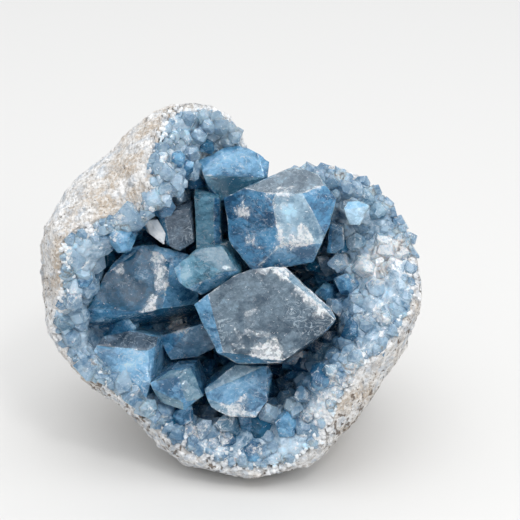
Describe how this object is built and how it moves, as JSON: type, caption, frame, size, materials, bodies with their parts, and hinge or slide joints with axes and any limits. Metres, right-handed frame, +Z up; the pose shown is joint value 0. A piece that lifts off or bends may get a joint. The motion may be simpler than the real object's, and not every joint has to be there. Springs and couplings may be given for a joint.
{
  "type": "celestite geode",
  "caption": "Broken-open rock nodule with a hollow lined and filled by large, flat-faced, pale blue crystals, resting on a small flat spot.",
  "frame": {"origin": "middle of the underside of the bounding box, on the surface that the geode rests on", "axes": "+Z up, the mouth faces -Y and is tipped up by 25 degrees, +X to the right as seen from the mouth's side"},
  "size_m": [0.1912, 0.1428, 0.1714],
  "materials": {
    "rock_shell": "rough, matt, pale beige rind with brown and blue-grey grains",
    "crystal_crust": "glassy to frosted, clear to milky blue crystal with white chalky patches"
  },
  "bodies": {
    "root": {"rock_shell": "rock_shell", "crystal_crust": "crystal_crust"}
  },
  "joints": []
}
